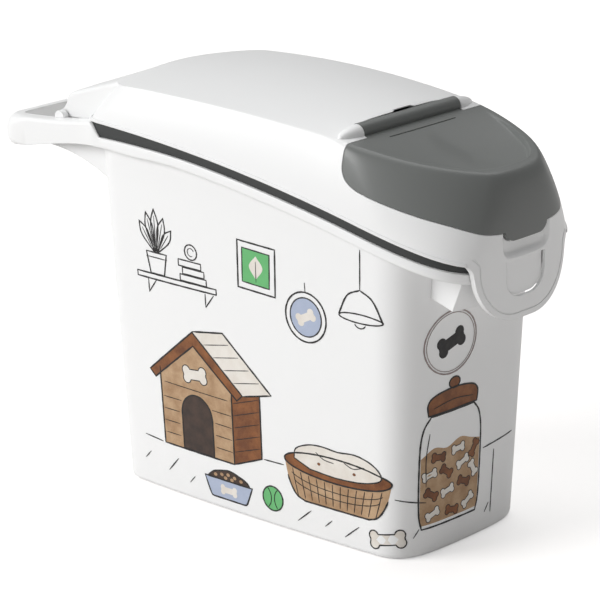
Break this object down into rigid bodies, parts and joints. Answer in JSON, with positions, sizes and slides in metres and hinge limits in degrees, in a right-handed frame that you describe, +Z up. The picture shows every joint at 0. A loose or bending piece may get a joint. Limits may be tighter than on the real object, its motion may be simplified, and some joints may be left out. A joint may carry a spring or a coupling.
{
  "type": "pet food bin",
  "caption": "Tall dry food bin with drafted walls, a loop handle, a crowned hinged lid with a soft seal and a latch tab, and a flip-up pouring flap.",
  "frame": {"origin": "on the floor, under the middle of the bin's length and width", "axes": "+X towards the pouring end, +Y across to the far side, +Z up"},
  "size_m": [0.4904, 0.2006, 0.3505],
  "materials": {
    "white_body": "fine satin moulded surface, printed film on the walls",
    "white_lid": "fine satin moulded surface",
    "grey_seal": "matt soft seal",
    "grey_flap": "fine satin moulded surface"
  },
  "bodies": {
    "bin": {"container_body": "white_body"},
    "lid_assembly": {"lid": "white_lid", "lid_seal": "grey_seal"},
    "flap": {"pour_flap": "grey_flap"}
  },
  "joints": [
    {"name": "lid_hinge", "type": "hinge", "parent": "bin", "child": "lid_assembly", "pos_m": [-0.179, 0, 0.303], "axis": [0, -1, 0], "range_deg": [0, 105]},
    {"name": "flap_hinge", "type": "hinge", "parent": "lid_assembly", "child": "flap", "pos_m": [0.1245, 0, 0.3368], "axis": [0, -1, 0], "range_deg": [0, 100]}
  ]
}
